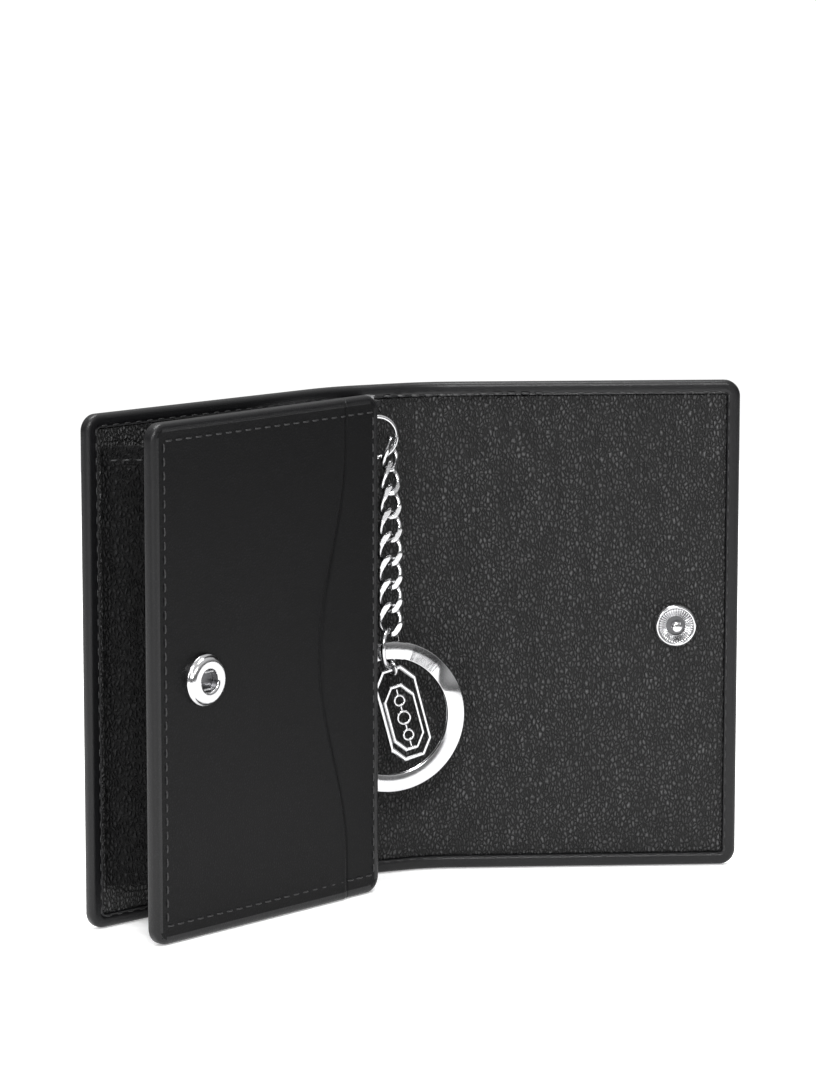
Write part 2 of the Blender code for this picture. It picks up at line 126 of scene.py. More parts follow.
def leather(name, dark, light, cell, depth, rough, specular=0.35, wear=0.0, length=1.0,
            ridge=(0.02, 0.42)):
    """Leather with pebbles of about the given cell size and fine pores.

    length stretches the pebbles along z, ridge is the span of the slope from groove to top,
    and wear is how much rougher than the tops the grooves are.
    """
    warp_scale, broad_scale, pore_scale = 0.45 / cell, 0.16 / cell, 3.2 / cell
    warp_reach, pore_share, broad_share = 0.9 * cell, 0.35, 0.9
    n = Nodes(name)
    spot = n.add("ShaderNodeTexCoord").outputs["Object"]
    stretch = n.add("ShaderNodeMapping", {"Vector": spot, "Scale": (1.0, 1.0, 1.0 / length)})
    place = stretch.outputs[0]
    warp = n.add("ShaderNodeTexNoise", {"Vector": place, "Scale": warp_scale, "Detail": 3.0})
    shift = n.add("ShaderNodeVectorMath", {0: warp.outputs["Color"], "Scale": warp_reach},
                  operation="SCALE")
    bent = n.add("ShaderNodeVectorMath", {0: place, 1: shift.outputs[0]}, operation="ADD")
    cells = n.add("ShaderNodeTexVoronoi", {"Vector": bent.outputs[0], "Scale": 1.0 / cell},
                  feature="DISTANCE_TO_EDGE")
    pebble = n.ramp(cells.outputs["Distance"], *ridge)
    broad = n.add("ShaderNodeTexNoise", {"Vector": place, "Scale": broad_scale, "Detail": 2.0})
    fine = n.add("ShaderNodeTexNoise", {"Vector": place, "Scale": pore_scale, "Detail": 4.0,
                                        "Roughness": 0.65})
    height = n.maths("ADD", pebble, n.maths("MULTIPLY", fine.outputs["Fac"], pore_share))
    height = n.maths("ADD", height, n.maths("MULTIPLY", broad.outputs["Fac"], broad_share))
    bump = n.add("ShaderNodeBump", {"Height": height, "Strength": 1.0, "Distance": depth})
    n.feed(bump.outputs["Normal"], "Normal")
    # Painted shade and painted highlight: the colour is dark in the grooves between the pebbles and
    # light on their tops, times a broad tone that varies at random.
    groove_shade_and_tone = n.maths("MULTIPLY", pebble, n.ramp(broad.outputs["Fac"], 0.3, 0.7, 0.55, 1.0))
    n.feed(n.colours(groove_shade_and_tone, dark, light), "Base Color")
    gloss = n.maths("ADD", n.ramp(fine.outputs["Fac"], 0.3, 0.7, rough + 0.06, rough - 0.04),
                    n.ramp(pebble, 0.0, 1.0, 0.08 + wear, 0.0))
    n.feed(gloss, "Roughness")
    n.fix(Specular_IOR_Level=specular, Sheen_Weight=0.0)
    return n.material


def metal(name, colour, rough, brushed=0.0):
    """Plated metal with faint handling marks; brushed widens the spread of its roughness."""
    mark_scale, cloud_scale, mark_depth = 900.0, 160.0, 0.01 * MM
    n = Nodes(name)
    place = n.add("ShaderNodeTexCoord").outputs["Object"]
    stretch = n.add("ShaderNodeMapping", {"Vector": place, "Scale": (1.0, 1.0, 7.0)})
    marks = n.add("ShaderNodeTexNoise", {"Vector": stretch.outputs[0], "Scale": mark_scale,
                                         "Detail": 5.0, "Roughness": 0.7})
    clouds = n.add("ShaderNodeTexNoise", {"Vector": place, "Scale": cloud_scale, "Detail": 2.0})
    n.feed(n.ramp(marks.outputs["Fac"], 0.35, 0.7, rough, rough + 0.10 + brushed), "Roughness")
    tint = n.ramp(clouds.outputs["Fac"], 0.3, 0.7)
    darker = tuple(0.9 * value for value in colour)
    n.feed(n.colours(tint, darker, colour), "Base Color")
    bump = n.add("ShaderNodeBump", {"Height": marks.outputs["Fac"], "Strength": 0.25,
                                    "Distance": mark_depth})
    n.feed(bump.outputs["Normal"], "Normal")
    n.fix(Metallic=1.0)
    return n.material


def thread(name, colour):
    """Waxed polyester thread with a fine twist."""
    twist_scale, twist_depth = 900.0, 0.04 * MM
    n = Nodes(name)
    place = n.add("ShaderNodeTexCoord").outputs["Object"]
    twist = n.add("ShaderNodeTexWave", {"Vector": place, "Scale": twist_scale, "Distortion": 1.5},
                  bands_direction="DIAGONAL")
    n.feed(n.colours(twist.outputs["Fac"], tuple(0.5 * c for c in colour), colour), "Base Color")
    bump = n.add("ShaderNodeBump", {"Height": twist.outputs["Fac"], "Strength": 0.6,
                                    "Distance": twist_depth})
    n.feed(bump.outputs["Normal"], "Normal")
    n.fix(Roughness=0.45, Specular_IOR_Level=0.4)
    return n.material


SMOOTH = leather("smooth_leather", (0.002, 0.002, 0.0022), (0.0045, 0.0045, 0.005),
                 cell=0.55 * MM, depth=0.016 * MM, rough=0.38, specular=0.11)
# Lighter and glossier than the smooth leather; on the front panel's rim band its lighter colour is
# partly a painted highlight.
EDGE = leather("turned_edge_leather", (0.003, 0.003, 0.0034), (0.008, 0.008, 0.009),
               cell=0.5 * MM, depth=0.02 * MM, rough=0.30, specular=0.30)
# The lining's colour runs from almost black in the grooves to light on the pebble tops: painted shade
# in the grooves and painted highlight on the tops.
GRAIN = leather("grained_lining", (0.0004, 0.0004, 0.0005), (0.105, 0.105, 0.107),
                cell=0.62 * MM, depth=0.60 * MM, rough=0.34, specular=0.32, wear=0.14,
                length=1.7, ridge=(0.06, 0.42))
# A darker copy of the grained leather: painted shade for the gusset, which sits in shadow at the side
# of the pouch.
GUSSET_PAINTED_SHADE = leather("gusset_leather_painted_shade", (0.0006, 0.0006, 0.0007), (0.010, 0.010, 0.0105),
                 cell=0.7 * MM, depth=0.30 * MM, rough=0.40, specular=0.14, wear=0.1,
                 length=1.6, ridge=(0.05, 0.36))
CHROME = metal("polished_nickel", (0.58, 0.58, 0.59), rough=0.12)
SATIN = metal("satin_nickel", (0.52, 0.52, 0.53), rough=0.22, brushed=0.06)
# Dark metal is painted shade: it fills the floor of the snap socket's hollow and the well round the
# stud's pin.
RECESS_SHADE_METAL = metal("socket_floor", (0.12, 0.12, 0.125), rough=0.35)
THREAD = thread("black_thread", (0.020, 0.020, 0.021))


# ---------------------------------------------------------------- mesh helpers

def finish_piece(name, verts, faces, material, body=None, replaced=(), sharp=50.0,
                 spread=None):
    """Makes a smooth-shaded piece.  With spread, (body_a, body_b, start, end), the piece is baked
    where it stands and attached to no body; the bodies and the two points are not used.
    """
    mesh = bpy.data.meshes.new(name)
    mesh.from_pydata([tuple(v) for v in verts], [], faces)
    bm = bmesh.new()
    bm.from_mesh(mesh)
    bmesh.ops.recalc_face_normals(bm, faces=bm.faces)
    bm.to_mesh(mesh)
    bm.free()
    mesh.shade_smooth()
    mesh.set_sharp_from_angle(angle=math.radians(sharp))
    mesh.materials.append(material)
    piece = bpy.data.objects.new(name, mesh)
    bpy.context.collection.objects.link(piece)
    if spread:
        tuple(spread[2])
        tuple(spread[3])
        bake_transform(piece)
    else:
        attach(piece, body)
    if replaced:
        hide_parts(*replaced)
    return piece


def spaced(low, high, step):
    """Even steps of about the given length from low up to high.

    A run that falls, with high below low, gets only two steps whatever its length.
    """
    count = max(2, round((high - low) / step))
    return [low + (high - low) * i / count for i in range(count + 1)]


EDGE_LINES = [value * MM for value in
              (0.0, 0.08, 0.22, 0.42, 0.68, 1.0, 1.6, 1.95, 2.1, 2.25, 2.4, 2.55, 2.75, 3.2)]


def edged(low, high, step, low_free=True, high_free=True):
    """Grid lines with the close spacing of EDGE_LINES at each free end."""
    head = [low + value for value in EDGE_LINES] if low_free else [low]
    tail = [high - value for value in reversed(EDGE_LINES)] if high_free else [high]
    middle = spaced(head[-1], tail[0], step)[1:-1]
    return head + middle + tail


def round_corner(a, b, radius):
    """Moves a grid point near a square corner, given by its two insets, onto rounded rings."""
    if a >= radius or b >= radius:
        return a, b
    ring = min(a, b)
    share = (radius - max(a, b)) / max(radius - ring, 1e-9)
    angle = share * math.pi / 4.0
    near = radius - (radius - ring) * math.cos(angle)
    far = radius - (radius - ring) * math.sin(angle)
    return (near, far) if a <= b else (far, near)


def edge_round(inset, radius):
    """How far a rounded edge falls away from the flat face at this inset."""
    if inset >= radius:
        return 0.0
    return radius - math.sqrt(max(0.0, radius * radius - (radius - inset) ** 2))


def slab(s_lines, z_lines, ends_free, corner, outer, inner, place):
    """A closed sheet on a grid.  outer and inner give its two heights at (inset, s, z).

    ends_free says which of the two ends in s are free edges, where insets are counted from.
    """
    s_low, s_high = s_lines[0], s_lines[-1]
    z_low, z_high = z_lines[0], z_lines[-1]
    far = 1.0
    verts = []
    for face in (outer, inner):
        for s in s_lines:
            for z in z_lines:
                left = s - s_low if ends_free[0] else far
                right = s_high - s if ends_free[1] else far
                under, over = z - z_low, z_high - z
                inset = min(left, right, under, over)
                s_new, z_new = s, z
                if min(left, right) < corner and min(under, over) < corner:
                    a, b = round_corner(min(left, right), min(under, over), corner)
                    s_new = s_low + a if left <= right else s_high - a
                    z_new = z_low + b if under <= over else z_high - b
                verts.append(place(s_new, face(inset, s_new, z_new), z_new))
    rows, columns = len(s_lines), len(z_lines)
    count = rows * columns
    faces = []
    for i in range(rows - 1):
        for j in range(columns - 1):
            a = i * columns + j
            quad = (a, a + 1, a + columns + 1, a + columns)
            faces.append(quad)
            faces.append(tuple(count + k for k in reversed(quad)))
    rim = [i * columns for i in range(rows)]
    rim += [(rows - 1) * columns + j for j in range(1, columns)]
    rim += [i * columns + columns - 1 for i in range(rows - 2, -1, -1)]
    rim += list(range(columns - 2, 0, -1))
    for here, after in zip(rim, rim[1:] + rim[:1]):
        faces.append((here, after, count + after, count + here))
    return verts, faces


def ripple(s, z, size, height, seed=0.0):
    """Gentle unevenness of soft leather, with bumps of about the given size."""
    return height * noise.noise(Vector((s / size, z / size, seed)))


# ---------------------------------------------------------------- covers

def plan(s):
    """The wallet's plan curve: its point and outward normal at developed distance s.

    s is counted from the fold between the back cover and the spine.
    """
    for corner, start_turn in ((0.0, 0.0), (SPINE, SPINE_TURN)):
        gap = s - corner
        origin = FOLD_BACK if corner == 0.0 else FOLD_FLAP
        turn = start_turn
        if abs(gap) < FOLD_REACH:
            share = (gap + FOLD_REACH) / (2.0 * FOLD_REACH)
            start = origin - FOLD_REACH * Vector((math.cos(turn), -math.sin(turn), 0.0))
            heading = share * SPINE_TURN
            radius = FOLD_REACH / math.tan(0.5 * SPINE_TURN)
            ahead = radius * math.sin(heading)
            down = radius * (1.0 - math.cos(heading))
            along = Vector((math.cos(turn), -math.sin(turn), 0.0))
            inward = Vector((-math.sin(turn), -math.cos(turn), 0.0))
            final = turn + heading
            normal = Vector((math.sin(final), math.cos(final), 0.0))
            return start + along * ahead + inward * down, normal
    if s < 0.0:
        origin, turn, gap = FOLD_BACK, 0.0, s
    elif s < SPINE:
        origin, turn, gap = FOLD_BACK, SPINE_TURN, s
    else:
        origin, turn, gap = FOLD_FLAP, 2.0 * SPINE_TURN, s - SPINE
    point = origin + gap * Vector((math.cos(turn), -math.sin(turn), 0.0))
    return point, Vector((math.sin(turn), math.cos(turn), 0.0))


def wrap(s, n, z):
    point, normal = plan(s)
    place = point + normal * n
    return Vector((place.x, place.y, z))


GROOVE_DEPTH = 0.16 * MM
GROOVE_REACH = 0.3 * MM
EDGE_RADIUS = 1.0 * MM
RECESS = 0.55 * MM
SURFACE_WAVE = 0.09 * MM
LINING_CROWN = 0.16 * MM
CROWN_REACH = 3.0 * MM
FOLD_DIP = 0.12 * MM
FOLD_DIP_REACH = 2.0 * MM
LINING_WAVE = 0.10 * MM


def groove(inset):
    """Depth of the groove that the stitches lie in."""
    gap = abs(inset - STITCH_INSET) / GROOVE_REACH
    return GROOVE_DEPTH * (0.5 + 0.5 * math.cos(math.pi * gap)) if gap < 1.0 else 0.0


def cover_outer(inset, s, z):
    soft = ripple(s, z, 19.0 * MM, SURFACE_WAVE) - SURFACE_WAVE
    return HALF - edge_round(inset, EDGE_RADIUS) - groove(inset) + soft * min(1.0, inset / RIM)


def cover_inner(inset, s, z):
    level = -HALF + edge_round(inset, EDGE_RADIUS) + groove(inset)
    if inset > RIM:
        level += RECESS
    return level


def lining_top(inset, s, z):
    crown = LINING_CROWN * (1.0 - math.exp(-inset / CROWN_REACH))
    fold = 0.0
    for corner in (0.0, SPINE):
        fold += FOLD_DIP * math.exp(-((s - corner) / FOLD_DIP_REACH) ** 2)
    soft = ripple(s, z, 14.0 * MM, LINING_WAVE, 3.0)
    return -(HALF - 0.22 * MM) - crown + edge_round(inset, 0.25 * MM) + fold + soft + 0.1 * MM


def lining_base(inset, s, z):
    return -(HALF - RECESS - 0.05 * MM)


def spread_at(corner):
    """Where a piece that crosses a fold starts and ends its bend."""
    start = wrap(corner - FOLD_REACH, 0.0, 0.5 * HEIGHT)
    end = wrap(corner + FOLD_REACH, 0.0, 0.5 * HEIGHT)
    return start, end


def stitch_row(name, points, side, size=(2.0 * MM, 0.21 * MM), gap=2.75 * MM, body=None,
               spread=None):
    """Short stitches along a route; side is 1 to stand proud along its normals, -1 against them."""
    length, radius = size
    around, steps = 8, 8
    end_girth, crown, dip = 0.01 * MM, 0.35, 1.3
    verts, faces = [], []
    for here, along, up in evenly(points, gap, side):
        across = along.cross(up).normalized()
        base = len(verts)
        for k in range(steps + 1):
            share = 2.0 * k / steps - 1.0
            girth = radius * math.sqrt(max(0.0, 1.0 - share ** 4)) + end_girth
            rise = radius * (crown - dip * share * share)
            centre = here + along * (0.5 * length * share) + up * rise
            for j in range(around):
                angle = 2.0 * math.pi * j / around
                verts.append(centre + girth * (across * math.cos(angle) + up * math.sin(angle)))
        for k in range(steps):
            for j in range(around):
                a, b = base + k * around + j, base + k * around + (j + 1) % around
                faces.append((a, b, b + around, a + around))
        faces.append(tuple(base + j for j in range(around))[::-1])
        faces.append(tuple(base + steps * around + j for j in range(around)))
    finish_piece(name, verts, faces, THREAD, body, sharp=80.0, spread=spread)


def evenly(points, gap, side):
    """Places at an even pitch along a route of (point, normal) pairs."""
    lengths = [0.0]
    for here, after in zip(points, points[1:]):
        lengths.append(lengths[-1] + (after[0] - here[0]).length)
    count = max(1, round(lengths[-1] / gap))
    k = 0
    for i in range(count):
        at = lengths[-1] * (i + 0.5) / count
        while lengths[k + 1] < at:
            k += 1
        share = (at - lengths[k]) / max(lengths[k + 1] - lengths[k], 1e-9)
        here = points[k][0].lerp(points[k + 1][0], share)
        along = (points[k + 1][0] - points[k][0]).normalized()
        up = (points[k][1].lerp(points[k + 1][1], share) * side).normalized()
        yield here, along, (up - along * up.dot(along)).normalized()


def outline_route(s_from, s_free, level):
    """Three sides of a cover: along the bottom, up the free end and back along the top.

    The back cover's bottom run and the flap's top run fall in s, so spaced gives each only two
    steps: near the fold they cut straight across its bend and leave the leather.
    """
    low_z, high_z = STITCH_INSET, HEIGHT - STITCH_INSET
    sign = 1.0 if s_free > s_from else -1.0
    end = s_free - sign * STITCH_INSET
    bend = CORNER - STITCH_INSET
    straight = end - sign * bend
    step = 1.0 * MM
    angles = [0.5 * math.pi * k / 5.0 for k in range(1, 5)]
    flat = [(s, low_z) for s in spaced(s_from, straight, step)]
    for angle in angles:
        s = end - sign * bend * (1.0 - math.sin(angle))
        flat.append((s, low_z + bend * (1.0 - math.cos(angle))))
    flat += [(end, z) for z in spaced(low_z + bend, high_z - bend, step)]
    for angle in angles:
        s = end - sign * bend * (1.0 - math.cos(angle))
        flat.append((s, high_z - bend * (1.0 - math.sin(angle))))
    flat += [(s, high_z) for s in spaced(straight, s_from, step)]
    return [(wrap(s, level, z), plan(s)[1]) for s, z in flat]


def build_covers():
    middle = 0.5 * SPINE
    margin = RIM + 0.1 * MM
    s_step, z_step = 1.6 * MM, 2.0 * MM
    stitch_levels = (("inner", -HALF + 0.23 * MM, -1.0), ("outer", HALF - 0.16 * MM, 1.0))
    z_lines = edged(0.0, HEIGHT, z_step)
    z_inner = [margin + v for v in edged(0.0, HEIGHT - 2.0 * margin, z_step)]
    halves = (("back", -WIDTH, middle, (True, False), 0.0, ("back", "spine")),
              ("flap", middle, SPINE + WIDTH, (False, True), SPINE, ("spine", "flap")))
    hidden = {"back": (("back_cover_leather", "back_cover_board", "spine_leather"),
                       ("back_cover_lining", "spine_lining")),
              "flap": (("flap_leather", "flap_board"), ("flap_lining",))}
    for name, low, high, free, corner, bodies in halves:
        spread = (*bodies, *spread_at(corner))
        skins, linings = hidden[name]
        s_lines = edged(low, high, s_step, *free)
        verts, faces = slab(s_lines, z_lines, free, CORNER, cover_outer, cover_inner, wrap)
        finish_piece(f"{name}_cover_skin", verts, faces, EDGE, replaced=skins,
                     spread=spread, sharp=60.0)
        s_inner = edged(low + (margin if free[0] else 0.0), high - (margin if free[1] else 0.0),
                        s_step, *free)
        verts, faces = slab(s_inner, z_inner, free, 1.2 * MM, lining_top, lining_base, wrap)
        finish_piece(f"{name}_cover_lining", verts, faces, GRAIN,
                     replaced=linings, spread=spread, sharp=60.0)
        s_free = low if free[0] else high
        s_from = high if free[0] else low
        for label, level, side in stitch_levels:
            route = outline_route(s_from, s_free, level)
            stitch_row(f"{name}_{label}_stitches", route, side, spread=spread)


build_covers()


# ---------------------------------------------------------------- pouch

PANEL_LENGTH = 61.3 * MM
PANEL_SLOPE = math.radians(4.0)
PANEL_FRAME = (Matrix.Translation(FOLD_BACK + Vector((-1.2 * MM, -13.7 * MM, 0.0)))
               @ Matrix.Rotation(PANEL_SLOPE, 4, "Z"))
PANEL_BACK = 1.1 * MM
PANEL_FRONT = -1.40 * MM
POCKET_STEP = 0.34 * MM
TURNED_BAND = 1.4 * MM
MOUTH_MIDDLE = -13.75 * MM
MOUTH_SWING = 3.85 * MM
MOUTH_SPAN = 80.0 * MM


def mouth(z):
    """Where the card pocket's curved mouth runs at height z."""
    phase = max(-math.pi, min(math.pi, 2.0 * math.pi * (z - 0.5 * HEIGHT) / MOUTH_SPAN))
    return MOUTH_MIDDLE - MOUTH_SWING * math.cos(phase)


def warp_to_mouth(s, z):
    """Bends the grid so that one of its lines follows the pocket's mouth."""
    low, high = -PANEL_LENGTH + CORNER, -CORNER
    if not low < s < high:
        return s
    target = mouth(z)
    if s <= MOUTH_MIDDLE:
        return low + (s - low) * (target - low) / (MOUTH_MIDDLE - low)
    return high - (high - s) * (high - target) / (high - MOUTH_MIDDLE)


def pocket_level(s):
    """Height of the front leather at nominal distance s: a thin skin ends at the mouth."""
    lip_width, lip_swell, crease_depth = 0.16 * MM, 0.05 * MM, 0.16 * MM
    past = (s - MOUTH_MIDDLE) / lip_width
    share = 1.0 / (1.0 + math.exp(max(-40.0, min(40.0, -past * 4.0))))
    swell = lip_swell * math.exp(-((s - MOUTH_MIDDLE + 0.5 * MM) / (0.35 * MM)) ** 2)
    crease = crease_depth * math.exp(-((s - MOUTH_MIDDLE - 0.8 * MM) / (0.18 * MM)) ** 2)
    return PANEL_FRONT - POCKET_STEP * (1.0 - share) - swell + crease


def build_front_panel():
    near_mouth = [MOUTH_MIDDLE + v * MM for v in (-1.2, -0.8, -0.5, -0.3, -0.16, -0.06, 0.04, 0.14,
                                                  0.3, 0.5, 0.65, 0.8, 0.95, 1.1, 1.5)]
    head = [-PANEL_LENGTH + v for v in EDGE_LINES]
    tail = [-v for v in reversed(EDGE_LINES)]
    s_lines = head + spaced(head[-1], near_mouth[0], 1.6 * MM)[1:-1] + near_mouth
    s_lines += spaced(near_mouth[-1], tail[0], 1.2 * MM)[1:-1] + tail
    z_lines = edged(0.0, HEIGHT, 1.6 * MM)

    def front(inset, s, z):
        level = pocket_level(s) + edge_round(inset, EDGE_RADIUS)
        soft = ripple(s, z, 23.0 * MM, 0.10 * MM, 7.0) + 0.05 * MM
        return level + soft * min(1.0, inset / RIM)

    def back(inset, s, z):
        return PANEL_BACK - edge_round(inset, 0.9 * MM)

    def place(s, n, z):
        return PANEL_FRAME @ Vector((warp_to_mouth(s, z), n, z))

    verts, faces = slab(s_lines, z_lines, (True, True), CORNER, front, back, place)
    skin = finish_piece("front_panel_skin", verts, faces, SMOOTH, "back",
                        ("front_panel_leather", "front_panel_board", "card_pocket_skin"), 50.0)
    # The rim band's faces get the lighter, glossier turned-edge leather: partly the real turned edge,
    # partly a painted highlight along the panel's rim.
    skin.data.materials.append(EDGE)
    inverse = PANEL_FRAME.inverted()
    for face in skin.data.polygons:
        spot = inverse @ face.center
        inset = min(spot.x + PANEL_LENGTH, -spot.x, spot.z, HEIGHT - spot.z)
        face.material_index = int(inset < TURNED_BAND)

    inner = 3.0 * MM
    s_lines = [-PANEL_LENGTH + inner + v for v in edged(0.0, PANEL_LENGTH - 2.0 * inner, 2.0 * MM)]
    z_lines = [inner + v for v in edged(0.0, HEIGHT - 2.0 * inner, 2.0 * MM)]
    verts, faces = slab(s_lines, z_lines, (True, True), 1.5 * MM,
                        lambda inset, s, z: PANEL_BACK + 0.22 * MM - edge_round(inset, 0.2 * MM),
                        lambda inset, s, z: PANEL_BACK - 0.2 * MM,
                        lambda s, n, z: PANEL_FRAME @ Vector((s, n, z)))
    finish_piece("front_panel_backing", verts, faces, GRAIN, "back",
                 ("front_panel_lining",))

    route = []
    left, right = -PANEL_LENGTH + 2.9 * MM, -1.9 * MM
    low, high = 3.6 * MM, HEIGHT - 3.3 * MM
    # The bottom run falls in s, so its two steps pass the pocket's mouth in a straight line.
    path = [(s, low) for s in spaced(right, left, 0.8 * MM)]
    path += [(left, z) for z in spaced(low, high, 1.0 * MM)]
    path += [(s, high) for s in spaced(left, right, 0.8 * MM)]
    path += [(right, z) for z in spaced(high, low, 1.0 * MM)]
    out = PANEL_FRAME.to_3x3() @ Vector((0.0, -1.0, 0.0))
    for s, z in path:
        nominal = s + MOUTH_MIDDLE - mouth(z)
        route.append((PANEL_FRAME @ Vector((s, pocket_level(nominal) + 0.03 * MM, z)), out))
    stitch_row("front_panel_stitches", route, 1.0, (1.9 * MM, 0.17 * MM), 2.6 * MM, "back")


def smooth_path(points, parts):
    """A Catmull-Rom curve through plan points."""
    ends = [2.0 * points[0] - points[1]] + list(points) + [2.0 * points[-1] - points[-2]]
    path = []
    for a, b, c, d in zip(ends, ends[1:], ends[2:], ends[3:]):
        for k in range(parts):
            t = k / parts
            path.append(0.5 * ((2.0 * b) + (c - a) * t + (2.0 * a - 5.0 * b + 4.0 * c - d) * t * t
                               + (3.0 * b - a - 3.0 * c + d) * t ** 3))
    path.append(points[-1])
    return path


def build_gussets():
    plan_points = [(-59.4, -1.72), (-57.6, -2.3), (-54.4, -5.0), (-51.9, -7.9), (-51.4, -9.0),
                   (-51.9, -10.2), (-54.9, -13.0), (-57.7, -15.2), (-59.6, -15.75)]
    route = smooth_path([FOLD_BACK + Vector((x * MM, y * MM, 0.0)) for x, y in plan_points], 6)
    count = len(route) - 1
    top, base, hem = 91.7 * MM, 8.2 * MM, 3.6 * MM
    half_thick, hem_extra, unevenness = 0.30 * MM, 0.12 * MM, 0.06 * MM
    sway_reach, top_wave = 0.5 * MM, 0.5 * MM

    def at(u):
        k = min(int(u), count - 1)
        here = route[k].lerp(route[k + 1], u - k)
        along = (route[k + 1] - route[k]).normalized()
        return here, Vector((along.y, -along.x, 0.0))

    def place(u, n, z):
        here, normal = at(u * count)
        rise = math.sin(math.pi * (z - base) / (top - base))
        sway = sway_reach * rise * math.sin(math.pi * u) ** 2
        bent = here + normal * n + Vector((sway, 0.0, 0.0))
        above = max(0.0, (z - 0.5 * HEIGHT) / (0.5 * HEIGHT))
        edge = top_wave * math.sin(2.0 * math.pi * u) * above
        return Vector((bent.x, bent.y, z + edge))

    def thick(z):
        ends = min(z - base, top - z)
        band = hem_extra if top - z < hem else 0.0
        return (half_thick + band) - edge_round(ends, 0.28 * MM)

    def wavy(u, z):
        return ripple(u, z / 0.02, 0.35, unevenness)

    u_lines = spaced(0.0, 1.0, 1.0 / count)
    z_lines = [base, base + 0.1 * MM, base + 0.3 * MM]
    z_lines += spaced(base + 0.6 * MM, top - hem - 0.1 * MM, 2.0 * MM)
    z_lines += [top - hem + 0.1 * MM] + spaced(top - hem + 0.4 * MM, top - 0.6 * MM, 1.0 * MM)
    z_lines += [top - 0.3 * MM, top - 0.1 * MM, top]
    verts, faces = slab(u_lines, z_lines, (False, False), 0.0,
                        lambda inset, u, z: thick(z) + wavy(u, z),
                        lambda inset, u, z: -thick(z) + wavy(u, z), place)
    # The gusset side gets the darker leather: painted shade.
    finish_piece("gusset_side_leather", verts, faces, GUSSET_PAINTED_SHADE, "back", ("gusset_side",))
    hem_z = top - hem + 0.9 * MM
    line = [(place(u, 0.40 * MM, hem_z), at(u * count)[1]) for u in spaced(0.08, 0.9, 0.02)]
    stitch_row("gusset_hem_stitches", line, 1.0, (1.7 * MM, 0.15 * MM), 2.5 * MM, "back")

    low, high = (Vector(corner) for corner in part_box("gusset_bottom"))
    crown, floor_half = 1.3 * MM, 0.3 * MM

    def floor_place(v, n, x):
        slope = (FOLD_BACK.x - x) * math.tan(PANEL_SLOPE)
        front = low.y + 0.6 * MM if slope < 0.0 else FOLD_BACK.y - 12.6 * MM - slope
        y = high.y + (front - high.y) * v
        rise = crown * math.sin(math.pi * v) ** 0.8
        return Vector((x, y, low.z + 0.4 * MM + n + rise))

    v_lines, x_lines = spaced(0.0, 1.0, 0.05), spaced(low.x, high.x, 2.0 * MM)
    verts, faces = slab(v_lines, x_lines, (False, False), 0.0,
                        lambda inset, v, x: floor_half, lambda inset, v, x: -floor_half, floor_place)
    # The gusset floor gets the darker leather: painted shade.
    finish_piece("gusset_floor_leather", verts, faces, GUSSET_PAINTED_SHADE, "back",
                 ("gusset_bottom",))


# ---------------------------------------------------------------- turned and swept metal

TURNED_STEPS = 96
TURNED_SHARP = 35.0


def turned_piece(name, profile, frame_matrix, material, body, replaced=()):
    """Turns a (radius, height) outline about the frame's Y axis."""
    verts, faces = [], []
    rings = []
    for i in range(TURNED_STEPS):
        angle = 2.0 * math.pi * i / TURNED_STEPS
        ring = []
        for r, h in profile:
            ring.append(len(verts))
            verts.append(frame_matrix @ Vector((r * math.cos(angle), h, r * math.sin(angle))))
        rings.append(ring)
    for here, after in zip(rings, rings[1:] + rings[:1]):
        for a, b, c, d in zip(here, here[1:], after[1:], after):
            faces.append((a, b, c, d))
    for end in (0, -1):
        if profile[end][0] > 0.0:
            faces.append(tuple(ring[end] for ring in rings))
    finish_piece(name, verts, faces, material, body, replaced, TURNED_SHARP)


def washer(name, profile, frame_matrix, material, body, replaced=(), steps=TURNED_STEPS,
           ribs=None):
    """A turned ring whose outline is closed on itself.

    ribs is (count, height, inner radius, outer radius, top): it waves the part between the two
    radii that lies below top.
    """
    rib_count, rib_height, rib_inner, rib_outer, rib_top = ribs or (0, 0.0, 0.0, 0.0, 0.0)
    verts, faces = [], []
    count = len(profile)
    for i in range(steps):
        angle = 2.0 * math.pi * i / steps
        for r, h in profile:
            if rib_inner < r < rib_outer and h < rib_top:
                h += rib_height * (0.5 + 0.5 * math.cos(rib_count * angle))
            verts.append(frame_matrix @ Vector((r * math.cos(angle), h, r * math.sin(angle))))
    for i in range(steps):
        for j in range(count):
            a, b = i * count + j, i * count + (j + 1) % count
            c, d = (i + 1) % steps * count + (j + 1) % count, (i + 1) % steps * count + j
            faces.append((a, b, c, d))
    finish_piece(name, verts, faces, material, body, replaced, TURNED_SHARP)


def arc_points(centre, radius, start, stop, count):
    """An arc of an outline, from the start angle to the stop angle in degrees."""
    points = []
    for k in range(count + 1):
        angle = math.radians(start + (stop - start) * k / count)
        points.append((centre[0] + radius * math.cos(angle), centre[1] + radius * math.sin(angle)))
    return points


